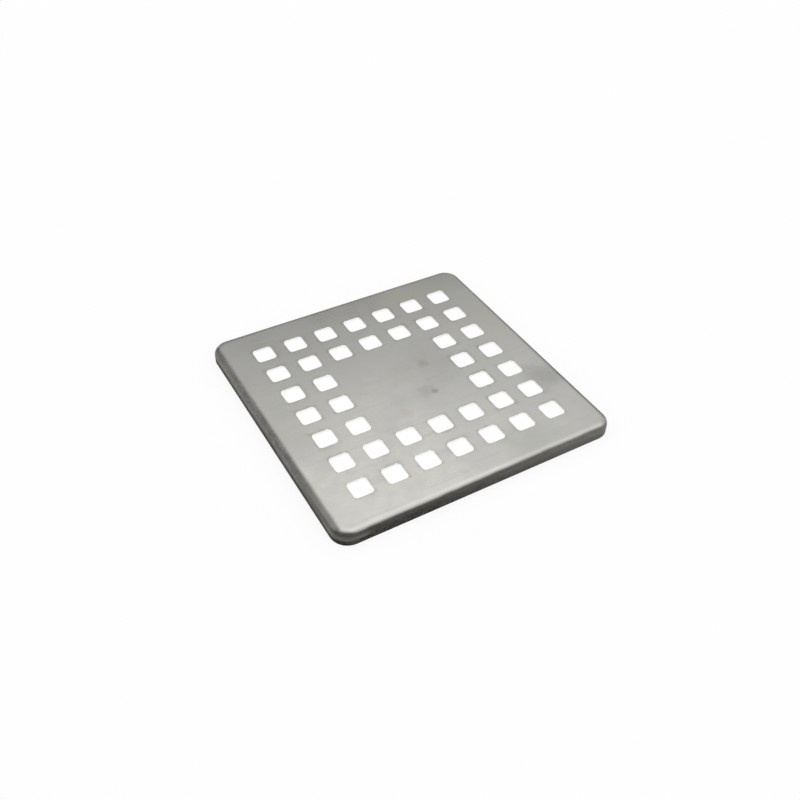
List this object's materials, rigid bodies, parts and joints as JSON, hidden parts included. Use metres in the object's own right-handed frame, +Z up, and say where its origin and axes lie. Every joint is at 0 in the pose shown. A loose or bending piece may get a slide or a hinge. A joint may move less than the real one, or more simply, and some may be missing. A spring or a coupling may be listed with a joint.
{
  "type": "floor drain cover",
  "caption": "Square pressed-steel floor drain cover with rounded corners, a shallow folded rim, rings of square drain holes and a plain middle.",
  "frame": {"origin": "under the middle of the cover, in the plane of the rim's foot", "axes": "+Z up through the face, +X and +Y square to the sides"},
  "size_m": [0.102, 0.102, 0.005],
  "materials": {
    "stainless_steel": "satin mill finish, lightly smudged"
  },
  "bodies": {
    "root": {"drain_cover": "stainless_steel"}
  },
  "joints": []
}
